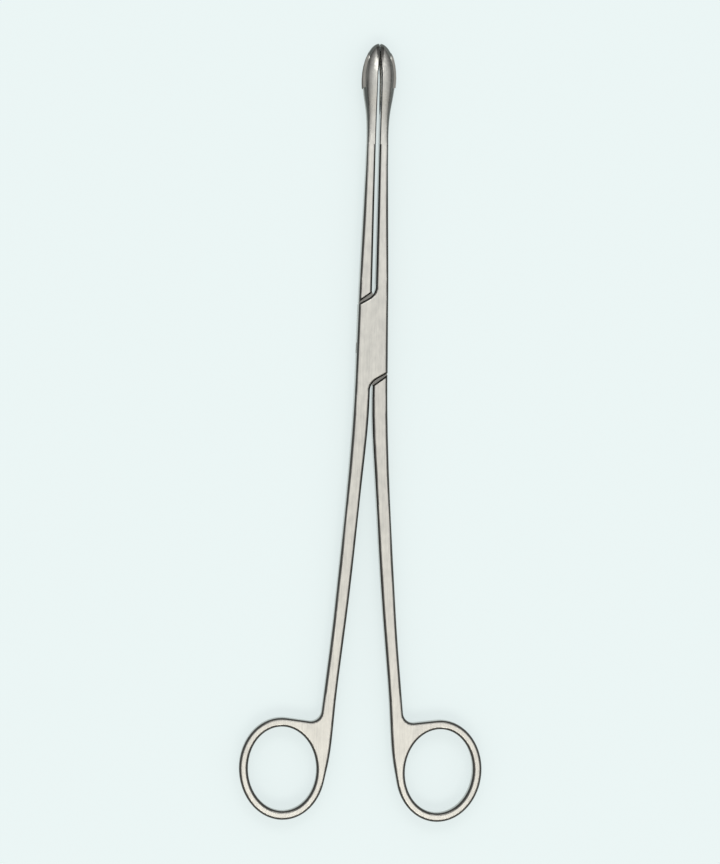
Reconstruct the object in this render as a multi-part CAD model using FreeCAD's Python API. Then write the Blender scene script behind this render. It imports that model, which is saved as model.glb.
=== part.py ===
import FreeCAD
import Part
import math
import os

# Ovum forceps with a box lock, finger rings and cupped, windowed jaws.
# Millimetres. +Y runs from the pivot towards the jaw tips, +X towards the ring of
# the male half and +Z up along the pivot pin. The origin is the centre of the pin's
# lower end, flush with the underside of the lock. The jaws are closed.

# Lock
LOCK_THICKNESS = 7.2
LOCK_HALF_WIDTH = 5.54          # at the pivot
LOCK_NEAR_HALF_WIDTH = 5.79     # at the cheeks' corners on the ring side
LOCK_FAR_HALF_WIDTH = 5.36      # at their corners on the jaw side
LOCK_FLAT_HALF_LENGTH = 18.0    # where the thickness starts to taper
TONGUE_THICKNESS = 3.0
TONGUE_CLEARANCE = 0.06         # tongue to each cheek
SLOT_HALF_WIDTH = 5.8           # slot wall from the pivot
SLOT_LEAN = 21.0                # slot walls against the long axis, degrees
SLOT_CLEARANCE = 0.2            # tongue's edges to the slot's walls
OPENING_STOP = 61.5             # where the tongue meets the slot's walls, degrees
CHEEK_END = 12.4                # cheek's outer corner from the pivot, along the axis
CHEEK_ANGLE = 31.0              # cheek's end against a cross line, degrees
SHOULDER_GAP = 0.6              # cheek's end to the male shoulder, at the outside
SHOULDER_ANGLE = 37.0           # male shoulder against a cross line, degrees
CORNER_AT = 5.4                 # where the two are measured, from the axis
CROTCH_RADIUS = 5.0
MALE_CROTCH_RADIUS = 1.0        # under the lock, where the cheeks hide it
TONGUE_INSET = 0.06             # behind the lock's sides
TONGUE_PAST_SHOULDER = 1.5
PIN_RADIUS = 1.6
PIN_CLEARANCE = 0.04            # radial, in the tongue

# Handles
HANDLE_LENGTH = 173.5           # pivot to the far side of a ring
HANDLE_START = 20.0             # where the shanks leave the lock
RING_OFFSET = 28.3              # ring centre from the long axis
RING_HOLE_WIDTH = 24.6
RING_HOLE_LENGTH = 30.3
RING_BAND = 3.2
RING_TILT = 4.0                 # the rings' near ends lean outwards, degrees
RING_THICKNESS = 4.6            # at the ring's centre
RING_WEB_RADIUS = 3.8           # between shank and ring
RING_WEB_SLOPE = 7.0            # web line against a cross line, degrees
RING_MEETS_SHANK = 197.0        # where the inner edge runs into the ring, degrees
SHANK_SPLAY = 6.2               # outer edge against the long axis at the ring
SHANK_GAP = 1.0                 # between the shanks where they leave the lock
# Points of a shank's edges: place from the long axis, and share of the way from where
# it leaves the lock to the ring's centre
OUTER_EDGE = [(5.90, 0.0), (7.36, 0.222), (9.59, 0.444), (11.86, 0.644)]
SHANK_END = (14.68, 0.8435)     # on the outer edge, just above the web
INNER_EDGE = [(2.3, 0.222), (4.71, 0.444), (7.28, 0.644), (9.95, 0.8435), (12.0, 0.991)]

# Jaws
JAW_LENGTH = 106.6              # pivot to the tips
HEAD_LENGTH = 36.6              # the two cups, from the tips back to the neck
NECK_AT = JAW_LENGTH - HEAD_LENGTH
NECK_HALF_WIDTH = 3.86          # the closed pair
NECK_THICKNESS = 6.2
ARM_EDGE = [(5.18, 0.286), (4.73, 0.514), (4.20, 0.771)]    # share of the way to the neck
JAW_GAP = 1.4                   # between the closed jaws behind their tips
TIP_GAP = 0.16                  # between the closed tips
GAP_CLOSES_BACK = 11.6          # back from the tips, as all below
GAP_CLOSED_BACK = 5.1
GAP_BEND_RADIUS = 14.0
GAP_END_RADIUS = 8.0
CUP_BACK = 12.6                 # the cups' widest place
CUP_HALF_WIDTH = 5.95           # the closed pair
CUP_HALF_BREADTH = 5.2
CAVITY_BACK = 25.8
CAVITY_DEPTH = 4.4              # from the long axis
CAVITY_HALF_BREADTH = 3.8
TIP_WALL = 2.3
WINDOW_BACK = 16.2
WINDOW_WIDTH = 5.0
WINDOW_LENGTH = 12.6
WINDOW_RIM_WIDTH = 0.5
WINDOW_RIM_PROUD = 0.05         # past the cup's widest place
WINDOW_RIM_BACK = 13.1          # the rim's widest place
WINDOW_RIM_HALF_LENGTH = 12.95  # of the ellipse that its outside follows in plan

# Cups between the neck and their widest place: share of the way back to the neck, half
# width of the closed pair, half breadth, and how full the corners of the section are
CUP_FULLNESS = 0.62
NECK_FULLNESS = 1.107
CUP = [
    (0.875, 3.87, 3.12, 1.02),
    (0.72917, 3.97, 3.26, 0.92),
    (0.58333, 4.22, 3.58, 0.82),
    (0.41667, 4.76, 4.14, 0.73),
    (0.25, 5.44, 4.80, 0.66),
    (0.125, 5.80, 5.10, 0.63),
]

EDGE_ROUND = 1.0
RIM_ROUND = 0.45
SHOULDER_BREAK = 0.6
BLEND = 6.0                     # length of the passage from flat to taper
SPLIT_AT = -60.0                # the edges are rounded in two runs, either side

# Cutting shapes end well outside the object
FAR = 14.0                      # past the lock's sides
ACROSS = 60.0                   # past the rings' sides, of what is drawn in side view
WIDE = 100.0                    # past the rings' sides
LONG = 200.0                    # past either end
BELOW = -20.0
ABOVE = 40.0

MID = LOCK_THICKNESS / 2.0


def vec(x, y, z=0.0):
    return FreeCAD.Vector(x, y, z)


def tan(degrees):
    return math.tan(math.radians(degrees))


def unit(degrees):
    """Unit vector in plan, turned from +X."""
    return vec(math.cos(math.radians(degrees)), math.sin(math.radians(degrees)))


def line(a, b):
    return Part.LineSegment(a, b).toShape()


def spline(points, start, end):
    """Smooth curve through points that leaves along start and arrives along end."""
    curve = Part.BSplineCurve()
    curve.interpolate(Points=points, InitialTangent=start, FinalTangent=end)
    return curve.toShape()


def prism(edges, low, high):
    """Upright solid between two heights over a closed outline drawn at height 0."""
    face = Part.Face(Part.Wire(Part.__sortEdges__(edges)))
    solid = face.extrude(vec(0, 0, high - low))
    solid.translate(vec(0, 0, low))
    return solid


def polygon_prism(points, low, high):
    loop = [vec(x, y) for x, y in points]
    return prism(Part.makePolygon(loop + loop[:1]).Edges, low, high)


def side_prism(edges):
    """Solid across the object over an outline drawn as (Y, Z)."""
    solid = prism(edges, -ACROSS, ACROSS)
    solid.rotate(vec(0, 0, 0), vec(1, 1, 1), 120)
    return solid


def mirrored(shape):
    """The same shape on the other side of the long axis."""
    return shape.mirror(vec(0, 0, 0), vec(1, 0, 0))


def turned(shape):
    """Half a turn about the pivot."""
    copy = shape.copy()
    copy.rotate(vec(0, 0, 0), vec(0, 0, 1), 180)
    return copy


def ball(half_x, half_y, half_z, y):
    """Ellipsoid on the long axis."""
    shape = Part.makeSphere(1.0)
    stretch = FreeCAD.Matrix()
    stretch.scale(half_x, half_y, half_z)
    shape = shape.transformGeometry(stretch)
    shape.translate(vec(0, y, MID))
    return shape


def pin_bore(radius):
    return Part.makeCylinder(radius, ABOVE - BELOW, vec(0, 0, BELOW))


# Outline of one half, handle on the right and arm on the left

def meet(p, u, q, w):
    """Crossing of the line through p along u with the line through q along w."""
    cross = u.x * w.y - u.y * w.x
    d = q - p
    t = (d.x * w.y - d.y * w.x) / cross
    return p + u * t


def rounded_corner(before, corner, after, radius):
    """Start, arc and end of a rounded corner between two straight lines."""
    u = (before - corner).normalize()
    w = (after - corner).normalize()
    half = u.getAngle(w) / 2.0
    reach = radius / math.tan(half)
    start = corner + u * reach
    end = corner + w * reach
    centre = corner + (u + w).normalize() * (radius / math.sin(half))
    middle = centre + (corner - centre).normalize() * radius
    return start, Part.Arc(start, middle, end).toShape(), end


def upper_cheek(x):
    """Jaw-side end of the cheek, falling to the right."""
    return vec(x, CHEEK_END + (CORNER_AT - x) * tan(CHEEK_ANGLE))


def lower_cheek(x):
    return upper_cheek(-x) * -1


def shoulder(x):
    """Jaw-side shoulder of the male half, rising to the right."""
    return vec(x, CHEEK_END + SHOULDER_GAP + (x + CORNER_AT) * tan(SHOULDER_ANGLE))


def ring_centre():
    half = RING_HOLE_LENGTH / 2.0 + RING_BAND
    return vec(RING_OFFSET, half - HANDLE_LENGTH)


def ring_curve(half_width, half_length):
    """Ellipse round the ring's centre, leaning outwards at its near end."""
    centre = ring_centre()
    along = unit(90.0 - RING_TILT)
    side = unit(180.0 - RING_TILT)
    return Part.Ellipse(centre + along * half_length, centre + side * half_width, centre)


def along_shank(x, share):
    """Point of a shank's edge at a share of the way from the lock to the ring's centre."""
    way = -ring_centre().y - HANDLE_START
    return vec(x, -HANDLE_START - share * way)


def place_with_slope(ring, slope):
    """Place on the inner half of the ring's near end where it has this slope."""
    low = 0.0
    high = math.pi / 2.0
    for i in range(40):
        t = (low + high) / 2.0
        u = ring.tangent(t)[0]
        if u.y / u.x < slope:
            low = t
        else:
            high = t
    return low


def handle_edges(foot):
    """Right side of the half, round the ring and back up to the foot."""
    half_width = RING_HOLE_WIDTH / 2.0 + RING_BAND
    half_length = RING_HOLE_LENGTH / 2.0 + RING_BAND
    ring = ring_curve(half_width, half_length)
    leave = place_with_slope(ring, tan(RING_WEB_SLOPE))
    web_start = ring.value(leave)
    down = unit(-90.0 + SHANK_SPLAY)
    shank_end = along_shank(*SHANK_END)
    corner = meet(shank_end, down, web_start, unit(180.0 + RING_WEB_SLOPE))
    web = rounded_corner(shank_end, corner, web_start, RING_WEB_RADIUS)
    outer = [upper_cheek(LOCK_FAR_HALF_WIDTH), vec(LOCK_HALF_WIDTH, 0)]
    outer += [along_shank(*point) for point in OUTER_EDGE]
    outer.append(web[0])
    meets = math.radians(RING_MEETS_SHANK - 90.0)
    into = ring.tangent(meets)[0]
    inner = [foot] + [along_shank(*point) for point in INNER_EDGE] + [ring.value(meets)]
    return [
        spline(outer, unit(-89.2), down),
        web[1],
        line(web[2], web_start),
        Part.ArcOfEllipse(ring, meets, leave + 2 * math.pi).toShape(),
        spline(inner, unit(-90.0), into),
    ]


def half_outline(crotch):
    wide = -JAW_GAP / 2.0
    low = SHANK_GAP / 2.0
    foot = vec(low, -HANDLE_START)
    edges = handle_edges(foot)
    under = rounded_corner(foot, lower_cheek(low), lower_cheek(-FAR), crotch)
    left = lower_cheek(-LOCK_NEAR_HALF_WIDTH)
    if (foot - under[0]).Length > 0.001:
        edges.append(line(foot, under[0]))
    edges.append(under[1])
    edges.append(line(under[2], left))
    arm = [left, vec(-LOCK_HALF_WIDTH, 0)] + [vec(-x, share * NECK_AT) for x, share in ARM_EDGE]
    neck = vec(-NECK_HALF_WIDTH, NECK_AT)
    edges.append(spline(arm + [neck], unit(89.0), unit(90.0)))
    neck_in = vec(wide, NECK_AT)
    edges.append(line(neck, neck_in))
    over = rounded_corner(neck_in, upper_cheek(wide), upper_cheek(FAR), crotch)
    edges.append(line(neck_in, over[0]))
    edges.append(over[1])
    edges.append(line(over[2], upper_cheek(LOCK_FAR_HALF_WIDTH)))
    return edges


def taper():
    """Side view: a flat lock, thinner towards the rings and towards the neck."""
    half = LOCK_THICKNESS / 2.0
    flat = LOCK_FLAT_HALF_LENGTH
    fall = (half - RING_THICKNESS / 2.0) / (-ring_centre().y - flat)
    back = -HANDLE_LENGTH - 10.0
    back_half = half - fall * (-back - flat)
    lean = (half - NECK_THICKNESS / 2.0) / (NECK_AT - flat)
    front = NECK_AT
    front_half = NECK_THICKNESS / 2.0
    edges = []
    ends = []
    for side in (1, -1):
        a = vec(back, MID + side * back_half)
        b = vec(-flat, MID + side * half)
        c = vec(flat, MID + side * half)
        d = vec(front, MID + side * front_half)
        first = rounded_corner(a, b, c, BLEND / fall)
        second = rounded_corner(b, c, d, BLEND / lean)
        edges += [line(a, first[0]), first[1], line(first[2], second[0]), second[1]]
        edges.append(line(second[2], d))
        ends.append((a, d))
    edges.append(line(ends[0][0], ends[1][0]))
    edges.append(line(ends[0][1], ends[1][1]))
    return side_prism(edges)


def rounded(solid, ends):
    """Rounds the top and bottom edges of an upright solid, not those at its cut ends."""
    flat = []
    upright = []
    for face in solid.Faces:
        u0, u1, v0, v1 = face.ParameterRange
        z = abs(face.normalAt((u0 + u1) / 2.0, (v0 + v1) / 2.0).z)
        box = face.BoundBox
        if z > 0.9:
            flat += face.Edges
        elif box.YLength > 0.01 or min(abs(box.YMin - y) for y in ends) > 0.01:
            upright += face.Edges
    edges = [e for e in flat if any(e.isSame(other) for other in upright)]
    return solid.makeFillet(EDGE_ROUND, edges)


def blank(crotch):
    """Ring, shank, full lock plate and arm of one half, with rounded edges."""
    solid = prism(half_outline(crotch), BELOW, ABOVE)
    hole = ring_curve(RING_HOLE_WIDTH / 2.0, RING_HOLE_LENGTH / 2.0)
    sides = [Part.ArcOfEllipse(hole, t, t + math.pi).toShape() for t in (0.0, math.pi)]
    solid = solid.cut(prism(sides, BELOW, ABOVE))
    solid = solid.common(taper())
    height = ABOVE - BELOW
    near = solid.common(Part.makeBox(2 * WIDE, LONG, height, vec(-WIDE, SPLIT_AT, BELOW)))
    far = solid.common(Part.makeBox(2 * WIDE, LONG, height, vec(-WIDE, SPLIT_AT - LONG, BELOW)))
    ends = (SPLIT_AT, NECK_AT)
    return rounded(near, ends).fuse(rounded(far, ends))


# Cups, on the left like the arm

def quarter(corner, first, last, fullness):
    """Quarter of a rounded outline from first to last inside its corner."""
    curve = Part.BezierCurve()
    poles = [first, first + (corner - first) * fullness, last + (corner - last) * fullness, last]
    curve.setPoles(poles)
    return curve.toShape()


def pair_section(back, a, b, fullness):
    """Closed outline across the axis round both cups, some way back from the tips."""
    y = JAW_LENGTH - back
    right = vec(a, y, MID)
    top = vec(0, y, MID + b)
    left = vec(-a, y, MID)
    bottom = vec(0, y, MID - b)
    edges = [quarter(vec(a, y, MID + b), right, top, fullness),
             quarter(vec(-a, y, MID + b), top, left, fullness),
             quarter(vec(-a, y, MID - b), left, bottom, fullness),
             quarter(vec(a, y, MID - b), bottom, right, fullness)]
    return Part.Wire(edges)


def cup_side():
    """Everything in plan left of the left jaw's inside."""
    wide = -JAW_GAP / 2.0
    narrow = -TIP_GAP / 2.0
    top = vec(narrow, JAW_LENGTH + 2.0)
    start = vec(wide, NECK_AT)
    bend = vec(wide, JAW_LENGTH - GAP_CLOSES_BACK)
    shut = vec(narrow, JAW_LENGTH - GAP_CLOSED_BACK)
    first = rounded_corner(start, bend, shut, GAP_BEND_RADIUS)
    second = rounded_corner(bend, shut, top, GAP_END_RADIUS)
    edges = [line(start, first[0]), first[1], line(first[2], second[0]), second[1]]
    edges.append(line(second[2], top))
    edges.append(line(top, vec(-FAR, top.y)))
    edges.append(line(vec(-FAR, top.y), vec(-FAR, NECK_AT)))
    edges.append(line(vec(-FAR, NECK_AT), start))
    return prism(edges, BELOW, ABOVE)


def cup_body():
    rows = [(HEAD_LENGTH, NECK_HALF_WIDTH, NECK_THICKNESS / 2.0, NECK_FULLNESS)]
    for share, a, b, fullness in CUP:
        rows.append((CUP_BACK + share * (HEAD_LENGTH - CUP_BACK), a, b, fullness))
    for degrees in (0, 16, 32, 48, 64, 78):
        t = math.radians(degrees)
        c = math.cos(t)
        back = CUP_BACK * (1.0 - math.sin(t))
        rows.append((back, CUP_HALF_WIDTH * c, CUP_HALF_BREADTH * c, CUP_FULLNESS))
    sections = [pair_section(*row) for row in rows]
    sections.append(Part.Vertex(vec(0, JAW_LENGTH, MID)))
    half = Part.makeLoft(sections, True, False).common(cup_side())
    found = []
    for edge in half.Edges:
        box = edge.BoundBox
        if box.XLength < 0.01 and box.YLength > 15 and abs(box.XMax + JAW_GAP / 2.0) < 0.01:
            found.append(edge)
    return half.makeFillet(RIM_ROUND, found)


def window_bar(half, end):
    """Bar across the cups, square at the near end and round at the far one."""
    near = end - half
    start = JAW_LENGTH - WINDOW_BACK
    edges = [line(vec(start, MID - half), vec(start, MID + half)),
             line(vec(start, MID + half), vec(near, MID + half)),
             Part.Arc(vec(near, MID + half), vec(end, MID), vec(near, MID - half)).toShape(),
             line(vec(near, MID - half), vec(start, MID - half))]
    return side_prism(edges)


def window_rim():
    """Upright land round the window, dying out in the cup towards the tip."""
    half = WINDOW_WIDTH / 2.0 + WINDOW_RIM_WIDTH
    bar = window_bar(half, JAW_LENGTH - WINDOW_BACK + WINDOW_LENGTH + WINDOW_RIM_WIDTH)
    centre = vec(0, JAW_LENGTH - WINDOW_RIM_BACK)
    wide = vec(CUP_HALF_WIDTH + WINDOW_RIM_PROUD, 0)
    long = vec(0, WINDOW_RIM_HALF_LENGTH)
    outside = Part.Ellipse(centre + long, centre + wide, centre)
    left = Part.ArcOfEllipse(outside, math.pi, 2.0 * math.pi).toShape()
    plate = prism([left, line(centre - long, centre + long)], BELOW, ABOVE)
    depth = CAVITY_DEPTH / 2.0
    inner = Part.makeBox(depth, LONG, ABOVE - BELOW, vec(-depth, 0, BELOW))
    return plate.common(bar).cut(inner)


def cup():
    """Left cup with its cavity and window."""
    centre = JAW_LENGTH - (CAVITY_BACK + TIP_WALL) / 2.0
    half_length = (CAVITY_BACK - TIP_WALL) / 2.0
    shape = cup_body().fuse(window_rim())
    shape = shape.cut(ball(CAVITY_DEPTH, half_length, CAVITY_HALF_BREADTH, centre))
    end = JAW_LENGTH - WINDOW_BACK + WINDOW_LENGTH
    return shape.cut(window_bar(WINDOW_WIDTH / 2.0, end))


# Lock: slot and tongue

def slot():
    """Slot for the tongue, for a half with its arm on the right."""
    low = MID - TONGUE_THICKNESS / 2.0 - TONGUE_CLEARANCE
    high = MID + TONGUE_THICKNESS / 2.0 + TONGUE_CLEARANCE
    far = 2.0 * HANDLE_START
    n1 = unit(SLOT_LEAN)
    n2 = unit(SLOT_LEAN + OPENING_STOP)
    a1 = unit(SLOT_LEAN + 90.0)
    a2 = unit(SLOT_LEAN + OPENING_STOP + 90.0)
    apex = meet(n1 * SLOT_HALF_WIDTH, a1, n2 * SLOT_HALF_WIDTH, a2)
    up = apex + a1 * far
    out = apex - a2 * far
    wedge = polygon_prism([(apex.x, apex.y), (out.x, out.y), (far, far), (up.x, up.y)], low, high)
    room = Part.makeBox(2 * FAR, far, high - low, vec(-FAR, -HANDLE_START, low))
    return room.cut(wedge).cut(turned(wedge))


def tongue():
    """Thin middle of the male half, a little inside the lock's sides."""
    half = SLOT_HALF_WIDTH - SLOT_CLEARANCE
    low = MID - TONGUE_THICKNESS / 2.0
    long = 3.0 * HANDLE_START
    strip = Part.makeBox(2 * half, long, TONGUE_THICKNESS, vec(-half, -long / 2.0, low))
    strip.rotate(vec(0, 0, 0), vec(0, 0, 1), SLOT_LEAN)
    run = CHEEK_END + SHOULDER_GAP + TONGUE_PAST_SHOULDER
    near = LOCK_NEAR_HALF_WIDTH - TONGUE_INSET
    far = LOCK_FAR_HALF_WIDTH - 1.5 * TONGUE_INSET
    gap = JAW_GAP / 2.0
    foot = SHANK_GAP / 2.0
    end = HANDLE_START
    plan = [(-far, run), (-gap - 1.0, end), (0.5, end), (far, CHEEK_END), (near, -run)]
    plan += [(foot + 1.0, -end), (-0.5, -end), (-near, -CHEEK_END)]
    return strip.common(polygon_prism(plan, BELOW, ABOVE))


def shoulder_masks():
    """Everything in plan beyond the two shoulders."""
    a = shoulder(-FAR)
    b = shoulder(FAR)
    over = polygon_prism([(a.x, a.y), (b.x, b.y), (FAR, LONG), (-FAR, LONG)], BELOW, ABOVE)
    step = -1.5 * HANDLE_START
    under = [(-a.x, -a.y), (FAR, step), (WIDE, step), (WIDE, -LONG), (-FAR, -LONG), (-b.x, -b.y)]
    return over, polygon_prism(under, BELOW, ABOVE)


def shoulder_bevels():
    """Cutting shapes for the bevelled top and bottom edges of the two shoulders."""
    c = SHOULDER_BREAK
    bevels = []
    for face, inward in ((LOCK_THICKNESS, -1), (0.0, 1)):
        out = face - inward * 0.5
        corners = [(-0.5, out), (c + 0.5, out), (-0.5, face + inward * (c + 0.5))]
        loop = [vec(y, z) for y, z in corners]
        bevel = side_prism(Part.makePolygon(loop + loop[:1]).Edges)
        bevel = bevel.common(Part.makeBox(2 * FAR, 10, 40, vec(-FAR, -5, -20)))
        bevel.rotate(vec(0, 0, 0), vec(0, 0, 1), SHOULDER_ANGLE)
        bevel.translate(shoulder(0))
        bevels += [bevel, turned(bevel)]
    return bevels


# The three pieces

def female_half():
    shape = mirrored(blank(CROTCH_RADIUS))
    shape = shape.fuse(mirrored(cup()))
    shape = shape.cut(slot())
    return shape.cut(pin_bore(PIN_RADIUS))


def male_half():
    whole = blank(MALE_CROTCH_RADIUS)
    over, under = shoulder_masks()
    bevels = Part.makeCompound(shoulder_bevels())
    parts = [whole.common(over).cut(bevels), whole.common(under).cut(bevels)]
    middle = tongue().cut(pin_bore(PIN_RADIUS + PIN_CLEARANCE))
    shape = parts[0].fuse(cup())
    shape = shape.fuse(middle)
    return shape.fuse(parts[1])


def pivot_pin():
    return Part.makeCylinder(PIN_RADIUS, LOCK_THICKNESS)


def write(name, shape):
    if len(shape.Solids) != 1 or not shape.isValid():
        raise RuntimeError("%s: %d solids, valid %s" % (name, len(shape.Solids), shape.isValid()))
    shape.Solids[0].exportStep("parts/" + name + ".step")
    print(name, round(shape.Volume, 1))


os.makedirs("parts", exist_ok=True)
write("female_half", female_half())
write("male_half", male_half())
write("pivot_pin", pivot_pin())
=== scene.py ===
import math

import bpy
from mathutils import Matrix, Vector


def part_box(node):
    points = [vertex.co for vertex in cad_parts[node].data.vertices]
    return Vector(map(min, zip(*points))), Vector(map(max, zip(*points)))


# Ovum forceps on a pale floor, seen from above. Metres, in the frame of the solids:
# +Y towards the jaw tips, +X towards the right finger ring, +Z up along the pin.

# The photograph's frame and view
PHOTO_WIDTH = 720
PHOTO_HEIGHT = 864
PIVOT_PIXEL = (372.2, 339.0)
PIXEL = 0.00036             # real size of a pixel, at the height looked at
LOOK_HEIGHT = 0.0045
LEAN = 1.54                 # of the long axis to the right in the picture, degrees
CAMERA_SIDE = 5.0           # of the camera to the left of the floor's normal, degrees
CAMERA_DISTANCE = 0.9
CLIP_START = 0.05
CLIP_END = 60.0
SENSOR = 36.0

# Light, first the level of the studio's glow from the horizon (0) to overhead (1)
ZENITH = [(0.0, 0.22), (0.16, 0.34), (0.4, 0.54), (0.6, 0.72), (0.85, 0.80), (1.0, 0.82)]
WARM = (1.0, 0.965, 0.915)
COOL = (0.985, 0.99, 1.0)
WARM_SIDE = -0.35           # Y of a direction: warm from here on towards the rings
COOL_SIDE = 0.05            # and cool from here on towards the jaws
BACKGROUND = (0.9, 0.9, 0.9)
FLOOR_COLOUR = (0.84, 0.93, 0.93)
FLOOR_GLOW = 0.7            # share of the floor's tone that no shadow takes
FLOOR_ROUGH = 0.9
FLOOR_SIZE = 14.0
LAMP_DISTANCE = 1.5
LAMP_WIDTH = 1.0
LAMP_DEPTH = 0.45
LAMPS = [                   # name, lean from the normal towards +Y, power, colour
    ("far_softbox", 32.0, 3.8, (1.0, 0.99, 0.96)),
    ("near_softbox", -32.0, 4.2, (1.0, 0.97, 0.90)),
]

# Belt marks: waves per metre across and along, detail, share in the tone
MARKS = {
    "Grain": (9000.0, 350.0, 3.0, 0.3),
    "Streaks": (2300.0, 70.0, 2.0, 0.35),
    "Mottle": (420.0, 260.0, 3.0, 0.35),
}
MARKS_ROUGH = 0.1           # what the marks add to the roughness
NOISE_ROUGHNESS = 0.6
NOISE_LOW = 0.32            # the noise's usual range
NOISE_HIGH = 0.68
BUMP_STRENGTH = 0.25
BUMP_DISTANCE = 0.00001

# Tones of the steel, and below them the painted shade and painted highlight as shares of
# the flats' colour
STEEL_LIGHT = (0.75, 0.74, 0.685)
STEEL_DARK = (0.54, 0.535, 0.50)
PAINTED_EDGE_SHADE = 0.15            # painted shade on the roundings
PAINTED_WALL_SHADE = 0.58            # painted shade on the upright sides
PAINTED_RECESS_SHADE = 0.55          # painted shade in the lock, seen past the cheeks' ends
PAINTED_GAP_SHADE = 0.2              # painted shade on the facing sides of arms and jaws
PAINTED_CUP_HIGHLIGHT = 1.12             # painted highlight on the tops of the cups
PAINTED_RIM_SHADE = 0.4              # painted shade on the rims of the jaws' windows

# Where a surface is fully flat and where it no longer is, by the upward share of its
# normal, and how rough it is when flat. Between the two the painted shade of the roundings
# fades in, on the cups as a long painted gradient from bright to dark
GROUND = {"full": 0.995, "none": 0.94, "rough": 0.34}       # shanks, lock and arms
BURNISHED_AND_SHADED = {"full": 1.0, "none": 0.55, "rough": 0.26}      # cups
EDGE_ROUGH = 0.15
RIM_ROUGH = 0.5

# The same share where a face counts as level, and where the walls' painted shade starts and
# is full
FACES_UP = 0.9
WALL_NONE = 0.4
WALL_FULL = 0.1

# Where the zones lie, from the pin's axis along the instrument and from its long axis
HEAD_START = 0.045
HEAD_FULL = 0.082
RIM_START = 0.0902
RIM_SIDE = 0.0045           # at the rim's start
RIM_TAPER = 0.06            # by which it comes in towards the tips
RIM_FADE = 0.0004
SLIT_EDGE = 0.0010          # rounded edge of the gap between the jaws
SLIT_FADE = 0.0006
GAP_EDGE = 0.0006
GAP_FADE = 0.0004
LOCK_MIDDLE = 0.0036
TONGUE_HALF = 0.0017
LOCK_REACH = 0.02


# Camera

def camera_axes():
    """The picture's right on the floor, then right, up and back of the camera."""
    lean = math.radians(LEAN)
    side = math.radians(CAMERA_SIDE)
    along = Vector((math.cos(lean), math.sin(lean), 0))
    up = Vector((-math.sin(lean), math.cos(lean), 0))
    normal = Vector((0, 0, 1))
    right = along * math.cos(side) + normal * math.sin(side)
    back = normal * math.cos(side) - along * math.sin(side)
    return along, right, up, back


def add_camera():
    """Placed so that the pin falls on its pixel of the photograph."""
    along, right, up, back = camera_axes()
    from_left = PHOTO_WIDTH / 2 - PIVOT_PIXEL[0]
    from_top = PHOTO_HEIGHT / 2 - PIVOT_PIXEL[1]
    target = along * (from_left * PIXEL) - up * (from_top * PIXEL)
    target.z = LOOK_HEIGHT
    data = bpy.data.cameras.new("camera")
    data.sensor_width = SENSOR
    data.lens = SENSOR * CAMERA_DISTANCE / (PHOTO_HEIGHT * PIXEL)
    data.clip_start = CLIP_START
    data.clip_end = CLIP_END
    camera = bpy.data.objects.new("camera", data)
    bpy.context.scene.collection.objects.link(camera)
    place = target + back * CAMERA_DISTANCE
    turn = Matrix((right, up, back)).transposed().to_4x4()
    camera.matrix_world = Matrix.Translation(place) @ turn
    bpy.context.scene.camera = camera


# Nodes

def add_node(tree, kind, **settings):
    node = tree.nodes.new(kind)
    for name, value in settings.items():
        setattr(node, name, value)
    return node


def feed(tree, value, socket):
    """Sets the socket to a number, or links an output to it."""
    if isinstance(value, (int, float)):
        socket.default_value = value
    else:
        tree.links.new(value, socket)


def maths(tree, operation, *values):
    node = add_node(tree, "ShaderNodeMath", operation=operation)
    for socket, value in zip(node.inputs, values):
        feed(tree, value, socket)
    return node.outputs[0]


def between(tree, value, start, end, smooth=False):
    """0 at the start, 1 at the end, held beyond both."""
    kind = "SMOOTHSTEP" if smooth else "LINEAR"
    node = add_node(tree, "ShaderNodeMapRange", interpolation_type=kind)
    feed(tree, value, node.inputs["Value"])
    feed(tree, start, node.inputs["From Min"])
    feed(tree, end, node.inputs["From Max"])
    return node.outputs[0]


def blend(tree, factor, a, b):
    """a where the factor is 0, b where it is 1."""
    node = add_node(tree, "ShaderNodeMix", data_type="FLOAT")
    feed(tree, factor, node.inputs["Factor"])
    feed(tree, a, node.inputs["A"])
    feed(tree, b, node.inputs["B"])
    return node.outputs["Result"]


def blend_colours(tree, factor, a, b):
    node = add_node(tree, "ShaderNodeMix", data_type="RGBA")
    node.inputs["A"].default_value = (*a, 1)
    node.inputs["B"].default_value = (*b, 1)
    tree.links.new(factor, node.inputs["Factor"])
    return node.outputs["Result"]


def separate(tree, vector):
    node = add_node(tree, "ShaderNodeSeparateXYZ")
    tree.links.new(vector, node.inputs[0])
    return node.outputs


def new_group(name, vectors, values):
    """A node group that takes vectors and gives values, with its two end nodes."""
    group = bpy.data.node_groups.new(name, "ShaderNodeTree")
    for socket in vectors:
        group.interface.new_socket(socket, in_out="INPUT", socket_type="NodeSocketVector")
    for socket in values:
        group.interface.new_socket(socket, in_out="OUTPUT", socket_type="NodeSocketFloat")
    return group, add_node(group, "NodeGroupInput"), add_node(group, "NodeGroupOutput")


# Studio

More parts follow.
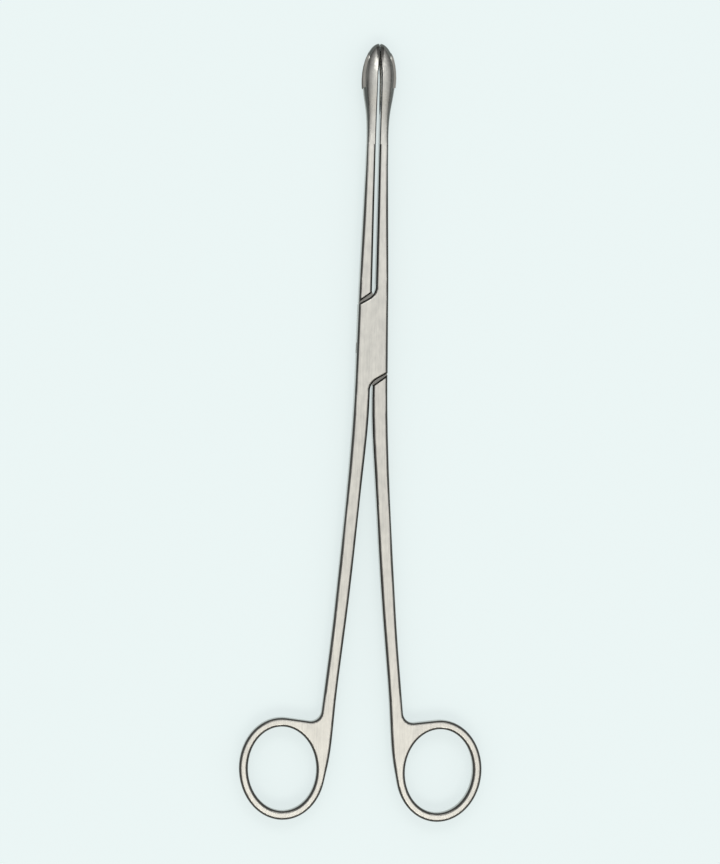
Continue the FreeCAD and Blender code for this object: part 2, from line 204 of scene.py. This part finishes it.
def studio_light():
    """Bright overhead, dark round the sides, pale where the camera looks past the floor."""
    world = bpy.data.worlds.new("studio")
    bpy.context.scene.world = world
    world.use_nodes = True
    tree = world.node_tree
    tree.nodes.clear()
    place = add_node(tree, "ShaderNodeTexCoord")
    direction = separate(tree, place.outputs["Generated"])
    ramp = add_node(tree, "ShaderNodeValToRGB")
    ramp.color_ramp.interpolation = "EASE"
    for i, (at, level) in enumerate(ZENITH):
        stops = ramp.color_ramp.elements
        stop = stops[i] if i < 2 else stops.new(at)
        stop.position = at
        stop.color = (level, level, level, 1)
    tree.links.new(direction["Z"], ramp.inputs[0])
    side = between(tree, direction["Y"], WARM_SIDE, COOL_SIDE)
    tint = blend_colours(tree, side, WARM, COOL)
    product = add_node(tree, "ShaderNodeMix", data_type="RGBA", blend_type="MULTIPLY")
    product.inputs["Factor"].default_value = 1
    tree.links.new(ramp.outputs[0], product.inputs["A"])
    tree.links.new(tint, product.inputs["B"])
    glow = add_node(tree, "ShaderNodeBackground")
    tree.links.new(product.outputs["Result"], glow.inputs["Color"])
    pale = add_node(tree, "ShaderNodeBackground")
    pale.inputs["Color"].default_value = (*BACKGROUND, 1)
    path = add_node(tree, "ShaderNodeLightPath")
    mix = add_node(tree, "ShaderNodeMixShader")
    tree.links.new(path.outputs["Is Camera Ray"], mix.inputs[0])
    tree.links.new(glow.outputs[0], mix.inputs[1])
    tree.links.new(pale.outputs[0], mix.inputs[2])
    out = add_node(tree, "ShaderNodeOutputWorld")
    tree.links.new(mix.outputs[0], out.inputs["Surface"])


def add_lamps():
    """Two softboxes past the instrument's ends, which its long edges don't mirror."""
    for name, lean, power, colour in LAMPS:
        data = bpy.data.lights.new(name, "AREA")
        data.shape = "RECTANGLE"
        data.size = LAMP_WIDTH
        data.size_y = LAMP_DEPTH
        data.energy = power
        data.color = colour
        lamp = bpy.data.objects.new(name, data)
        bpy.context.scene.collection.objects.link(lamp)
        away = Vector((0, math.sin(math.radians(lean)), math.cos(math.radians(lean))))
        lamp.location = away * LAMP_DISTANCE
        lamp.rotation_mode = "QUATERNION"
        lamp.rotation_quaternion = away.to_track_quat("Z", "Y")


def seen_directly(tree):
    """1 for what the camera sees itself or in metal, else 0."""
    path = add_node(tree, "ShaderNodeLightPath").outputs
    sight = maths(tree, "MAXIMUM", path["Is Camera Ray"], path["Is Glossy Ray"])
    return maths(tree, "MAXIMUM", sight, path["Is Transmission Ray"])


def floor_material():
    material = bpy.data.materials.new("pale_floor")
    material.use_nodes = True
    tree = material.node_tree
    shader = tree.nodes["Principled BSDF"]
    matt = [level * (1.0 - FLOOR_GLOW) for level in FLOOR_COLOUR]
    shader.inputs["Base Color"].default_value = (*matt, 1)
    shader.inputs["Roughness"].default_value = FLOOR_ROUGH
    shader.inputs["Specular IOR Level"].default_value = 0.0
    glow = add_node(tree, "ShaderNodeEmission")
    glow.inputs["Color"].default_value = (*FLOOR_COLOUR, 1)
    strength = maths(tree, "MULTIPLY", seen_directly(tree), FLOOR_GLOW)
    tree.links.new(strength, glow.inputs["Strength"])
    both = add_node(tree, "ShaderNodeAddShader")
    tree.links.new(shader.outputs[0], both.inputs[0])
    tree.links.new(glow.outputs[0], both.inputs[1])
    tree.links.new(both.outputs[0], tree.nodes["Material Output"].inputs["Surface"])
    return material


def add_floor():
    """The instrument lies on its jaws and on the undersides of its rings."""
    low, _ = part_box("female_half")
    bpy.ops.mesh.primitive_plane_add(size=FLOOR_SIZE, location=(0, 0, low.z))
    floor = bpy.context.active_object
    floor.name = "floor"
    floor.data.materials.append(floor_material())


# Steel

def noise(tree, place, across, along, detail):
    """Noise drawn out along the instrument, spread over 0 to 1."""
    stretch = add_node(tree, "ShaderNodeVectorMath", operation="MULTIPLY")
    tree.links.new(place, stretch.inputs[0])
    stretch.inputs[1].default_value = (across, along, across)
    texture = add_node(tree, "ShaderNodeTexNoise")
    texture.inputs["Scale"].default_value = 1.0
    texture.inputs["Detail"].default_value = detail
    texture.inputs["Roughness"].default_value = NOISE_ROUGHNESS
    tree.links.new(stretch.outputs[0], texture.inputs["Vector"])
    return between(tree, texture.outputs[0], NOISE_LOW, NOISE_HIGH)


def grain_group():
    """Marks of the finishing belt: hair-fine grain, longer streaks and a faint mottle."""
    group, ins, outs = new_group("belt_grain", ("Place",), MARKS)
    for name, (across, along, detail, _) in MARKS.items():
        mark = noise(group, ins.outputs["Place"], across, along, detail)
        group.links.new(mark, outs.inputs[name])
    return group


def flatness(group, height, cup):
    """1 on level steel, 0 once it has rounded over; the cups round over more slowly.
    Between the two the painted shade of the roundings fades in, on the cups as a long
    painted gradient.
    """
    start, end = [
        maths(group, "MULTIPLY_ADD", cup, BURNISHED_AND_SHADED[key] - GROUND[key], GROUND[key])
        for key in ("none", "full")
    ]
    slope = between(group, height, start, end)
    return maths(group, "POWER", slope, maths(group, "ADD", cup, 1.0))


def window_rim(group, along, out):
    """The land round a jaw's window, on the outer side, which gets painted shade and a
    rougher finish.
    """
    side = maths(group, "MULTIPLY_ADD", along, RIM_TAPER, out)
    start = RIM_SIDE + RIM_TAPER * RIM_START
    outer = between(group, side, start, start + RIM_FADE, smooth=True)
    past = maths(group, "GREATER_THAN", along, RIM_START)
    return maths(group, "MULTIPLY", outer, past)


def lock_recess(group, place, height):
    """The tongue's level faces between the cheeks, where the shade is painted."""
    depth = maths(group, "ABSOLUTE", maths(group, "SUBTRACT", place["Z"], LOCK_MIDDLE))
    near = maths(group, "LESS_THAN", maths(group, "ABSOLUTE", place["Y"]), LOCK_REACH)
    inside = maths(group, "MULTIPLY", maths(group, "LESS_THAN", depth, TONGUE_HALF), near)
    level = maths(group, "GREATER_THAN", height, FACES_UP)
    return maths(group, "MULTIPLY", inside, level)


def facing_sides(group, along, out):
    """Both sides of the gap between the arms and the jaws, where the shade is painted."""
    close = between(group, out, GAP_EDGE + GAP_FADE, GAP_EDGE, smooth=True)
    beyond = maths(group, "GREATER_THAN", along, LOCK_REACH)
    return maths(group, "MULTIPLY", close, beyond)


def zones_group():
    """Masks of how the steel lies and of the places that get painted shade or a painted
    highlight, some also a finish of their own.
    """
    names = ("Flat", "Wall", "Head", "Rim", "Recess", "Gap")
    group, ins, outs = new_group("steel_zones", ("Place", "Normal"), names)
    place = separate(group, ins.outputs["Place"])
    along = place["Y"]
    out = maths(group, "ABSOLUTE", place["X"])
    height = maths(group, "ABSOLUTE", separate(group, ins.outputs["Normal"])["Z"])
    head = between(group, along, HEAD_START, HEAD_FULL, smooth=True)
    clear = between(group, out, SLIT_EDGE, SLIT_EDGE + SLIT_FADE, smooth=True)
    cup = maths(group, "MULTIPLY", head, clear)
    zones = (
        flatness(group, height, cup),
        between(group, height, WALL_NONE, WALL_FULL, smooth=True),
        head,
        window_rim(group, along, out),
        lock_recess(group, place, height),
        facing_sides(group, along, out),
    )
    for name, zone in zip(names, zones):
        group.links.new(zone, outs.inputs[name])
    return group


def steel(name, grain, zones):
    """Steel with satin flats, burnished roundings and cups, with painted shade on the
    roundings, upright sides, window rims, lock recess and the gap's facing sides, and a
    painted highlight on the cups' tops.
    """
    material = bpy.data.materials.new(name)
    material.use_nodes = True
    tree = material.node_tree
    shader = tree.nodes["Principled BSDF"]
    shader.inputs["Metallic"].default_value = 1.0
    coordinates = add_node(tree, "ShaderNodeTexCoord").outputs
    belt = add_node(tree, "ShaderNodeGroup", node_tree=grain)
    tree.links.new(coordinates["Object"], belt.inputs["Place"])
    areas = add_node(tree, "ShaderNodeGroup", node_tree=zones)
    tree.links.new(coordinates["Object"], areas.inputs["Place"])
    tree.links.new(coordinates["Normal"], areas.inputs["Normal"])
    zone = areas.outputs

    marks = 0.0
    for mark, (_, _, _, share) in MARKS.items():
        marks = maths(tree, "MULTIPLY_ADD", belt.outputs[mark], share, marks)
    colour = blend_colours(tree, marks, STEEL_DARK, STEEL_LIGHT)
    # painted shade on the roundings and upright sides, and a painted highlight on the cups'
    # tops, blended by the flat mask
    edge = maths(tree, "MULTIPLY_ADD", zone["Wall"], PAINTED_WALL_SHADE - PAINTED_EDGE_SHADE, PAINTED_EDGE_SHADE)
    top = maths(tree, "MULTIPLY_ADD", zone["Head"], PAINTED_CUP_HIGHLIGHT - 1.0, 1.0)
    tone = blend(tree, zone["Flat"], edge, top)
    # painted shade on the window rims, in the lock's recess and on the facing sides of the
    # gap
    for key, level in (("Rim", PAINTED_RIM_SHADE), ("Recess", PAINTED_RECESS_SHADE), ("Gap", PAINTED_GAP_SHADE)):
        tone = blend(tree, zone[key], tone, level)
    shade = add_node(tree, "ShaderNodeVectorMath", operation="SCALE")
    tree.links.new(colour, shade.inputs[0])
    tree.links.new(tone, shade.inputs["Scale"])
    tree.links.new(shade.outputs[0], shader.inputs["Base Color"])

    step = BURNISHED_AND_SHADED["rough"] - GROUND["rough"]
    satin = maths(tree, "MULTIPLY_ADD", zone["Head"], step, GROUND["rough"])
    satin = maths(tree, "MULTIPLY_ADD", marks, MARKS_ROUGH, satin)
    rough = blend(tree, zone["Flat"], EDGE_ROUGH, satin)
    tree.links.new(blend(tree, zone["Rim"], rough, RIM_ROUGH), shader.inputs["Roughness"])

    bump = add_node(tree, "ShaderNodeBump")
    bump.inputs["Strength"].default_value = BUMP_STRENGTH
    bump.inputs["Distance"].default_value = BUMP_DISTANCE
    grooves = maths(tree, "MULTIPLY", belt.outputs["Grain"], zone["Flat"])
    tree.links.new(grooves, bump.inputs["Height"])
    tree.links.new(bump.outputs[0], shader.inputs["Normal"])
    return material


def dress(node, material):
    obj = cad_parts[node]
    obj.data.materials.clear()
    obj.data.materials.append(material)


bpy.context.scene.view_settings.view_transform = "Standard"
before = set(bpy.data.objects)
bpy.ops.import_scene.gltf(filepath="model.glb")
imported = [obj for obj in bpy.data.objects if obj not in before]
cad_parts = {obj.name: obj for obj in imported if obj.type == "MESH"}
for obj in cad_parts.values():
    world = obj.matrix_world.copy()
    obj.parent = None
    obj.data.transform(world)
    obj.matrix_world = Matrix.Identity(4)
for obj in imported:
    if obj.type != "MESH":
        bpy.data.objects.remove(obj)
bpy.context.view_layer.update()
bpy.ops.object.select_all(action="DESELECT")

grain = grain_group()
zones = zones_group()
body_steel = steel("satin_steel", grain, zones)
pin_steel = steel("pin_steel", grain, zones)
dress("female_half", body_steel)
dress("male_half", body_steel)
dress("pivot_pin", pin_steel)

studio_light()
add_lamps()
add_floor()
add_camera()
